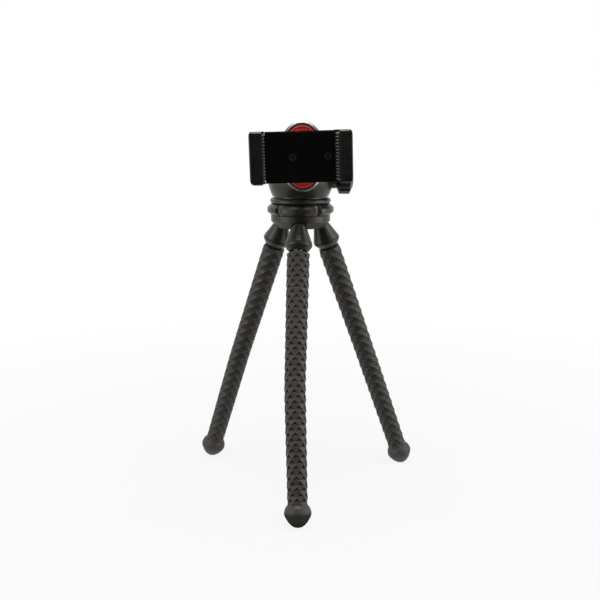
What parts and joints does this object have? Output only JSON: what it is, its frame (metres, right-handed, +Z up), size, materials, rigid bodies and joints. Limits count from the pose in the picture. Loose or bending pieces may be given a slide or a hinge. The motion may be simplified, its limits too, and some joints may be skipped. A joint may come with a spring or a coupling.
{
  "type": "bendable tripod phone holder",
  "caption": "Table tripod with bendable rubber-covered legs, a ball head with a lock knob, and a spring-loaded clamp that holds a phone.",
  "frame": {"origin": "on the floor, in the middle of the box round the three feet", "axes": "+Z up; the clamp faces -Y; +X to the right as seen from the front"},
  "size_m": [0.1668, 0.1532, 0.2652],
  "materials": {
    "body_plastic": "moulded, semi-gloss, dark grey",
    "black_plastic": "moulded, glossy, black",
    "leg_rubber": "matt, moulded in small scales, dark grey",
    "foot_rubber": "satin, smooth, dark grey",
    "grip_rubber": "satin, ribbed, black",
    "pad_rubber": "soft, with a fine raised mesh, red",
    "bright_metal": "satin, silver",
    "steel": "machined",
    "black_steel": "black oxide",
    "core_metal": "drawn wire, plain",
    "brass": "turned",
    "white_plastic": "moulded, natural white"
  },
  "bodies": {
    "hub": {"hub_base": "body_plastic", "hub_cap": "body_plastic", "pan_bolt": "steel", "pan_nut": "steel", "socket_screws": "steel", "socket_front": "body_plastic", "socket_left": "body_plastic", "socket_right": "body_plastic", "core_root_front": "core_metal", "core_root_left": "core_metal", "core_root_right": "core_metal", "bend_root_front": "leg_rubber", "bend_root_left": "leg_rubber", "bend_root_right": "leg_rubber"},
    "lock_ring": {"lock_ring": "body_plastic"},
    "head": {"pan_plate": "body_plastic", "ball_housing": "body_plastic", "ball_seat": "white_plastic", "seat_spacer": "core_metal", "brake_shoe": "brass", "housing_screws": "steel"},
    "knob": {"lock_knob": "black_plastic", "knob_screw": "steel", "knob_cap": "black_plastic"},
    "ball": {"ball_stem": "steel"},
    "clamp": {"platform_rim": "bright_metal", "platform_pad": "pad_rubber", "camera_screw": "steel", "clamp_back": "black_plastic", "clamp_insert": "brass", "clamp_front": "black_plastic", "rod_guide": "white_plastic", "clamp_screws": "black_steel", "fixed_jaw": "black_plastic", "fixed_grip": "grip_rubber", "pull_springs": "steel"},
    "moving_jaw": {"moving_jaw": "black_plastic", "moving_grip": "grip_rubber", "jaw_slide": "black_plastic", "guide_rods": "steel"},
    "upper_front": {"core_upper_front": "core_metal", "sleeve_upper_front": "leg_rubber", "bend_knee_front": "leg_rubber"},
    "lower_front": {"core_lower_front": "core_metal", "sleeve_lower_front": "leg_rubber", "foot_front": "foot_rubber"},
    "upper_left": {"core_upper_left": "core_metal", "sleeve_upper_left": "leg_rubber", "bend_knee_left": "leg_rubber"},
    "lower_left": {"core_lower_left": "core_metal", "sleeve_lower_left": "leg_rubber", "foot_left": "foot_rubber"},
    "upper_right": {"core_upper_right": "core_metal", "sleeve_upper_right": "leg_rubber", "bend_knee_right": "leg_rubber"},
    "lower_right": {"core_lower_right": "core_metal", "sleeve_lower_right": "leg_rubber", "foot_right": "foot_rubber"}
  },
  "joints": [
    {"name": "lock_ring_turn", "type": "hinge", "parent": "hub", "child": "lock_ring", "pos_m": [-0.00556, 0.01725, 0.19943], "axis": [0, 0, 1], "range_deg": [-20, 60]},
    {"name": "head_pan", "type": "hinge", "parent": "hub", "child": "head", "pos_m": [-0.00556, 0.01725, 0.20733], "axis": [0, 0, 1], "continuous": true},
    {"name": "knob_turn", "type": "hinge", "parent": "head", "child": "knob", "pos_m": [0.01974, 0.01725, 0.22653], "axis": [1, 0, 0], "range_deg": [0, 360]},
    {"name": "ball_tilt", "type": "hinge", "parent": "head", "child": "ball", "pos_m": [-0.00556, 0.01725, 0.24143], "axis": [-1, 0, 0], "range_deg": [0, 125]},
    {"name": "clamp_roll", "type": "hinge", "parent": "ball", "child": "clamp", "pos_m": [-0.00556, 0.01725, 0.24143], "axis": [0, -1, 0], "continuous": true},
    {"name": "jaw_slide", "type": "slide", "parent": "clamp", "child": "moving_jaw", "axis": [-0.9996, 0, -0.0279], "range_m": [0, 0.034], "stiffness_N_per_m": 250, "springref_m": -0.012, "deforming": ["pull_springs"]},
    {"name": "leg_root_front", "type": "hinge", "parent": "hub", "child": "upper_front", "pos_m": [-0.00844, -0.00848, 0.16753], "axis": [-0.9938, 0.1115, 0], "range_deg": [-20, 60], "deforming": ["bend_root_front"]},
    {"name": "leg_knee_front", "type": "hinge", "parent": "upper_front", "child": "lower_front", "pos_m": [-0.01189, -0.03925, 0.08772], "axis": [0.9938, -0.1115, 0], "range_deg": [-75, 75], "deforming": ["bend_knee_front"]},
    {"name": "leg_root_left", "type": "hinge", "parent": "hub", "child": "upper_left", "pos_m": [-0.0264, 0.03261, 0.16753], "axis": [0.5934, 0.8049, 0], "range_deg": [-20, 60], "deforming": ["bend_root_left"]},
    {"name": "leg_knee_left", "type": "hinge", "parent": "upper_left", "child": "lower_left", "pos_m": [-0.05131, 0.05098, 0.08772], "axis": [-0.5934, -0.8049, 0], "range_deg": [-75, 75], "deforming": ["bend_knee_left"]},
    {"name": "leg_root_right", "type": "hinge", "parent": "hub", "child": "upper_right", "pos_m": [0.01817, 0.02761, 0.16753], "axis": [0.4003, -0.9164, 0], "range_deg": [-20, 60], "deforming": ["bend_root_right"]},
    {"name": "leg_knee_right", "type": "hinge", "parent": "upper_right", "child": "lower_right", "pos_m": [0.04654, 0.04001, 0.08772], "axis": [-0.4003, 0.9164, 0], "range_deg": [-75, 75], "deforming": ["bend_knee_right"]}
  ]
}
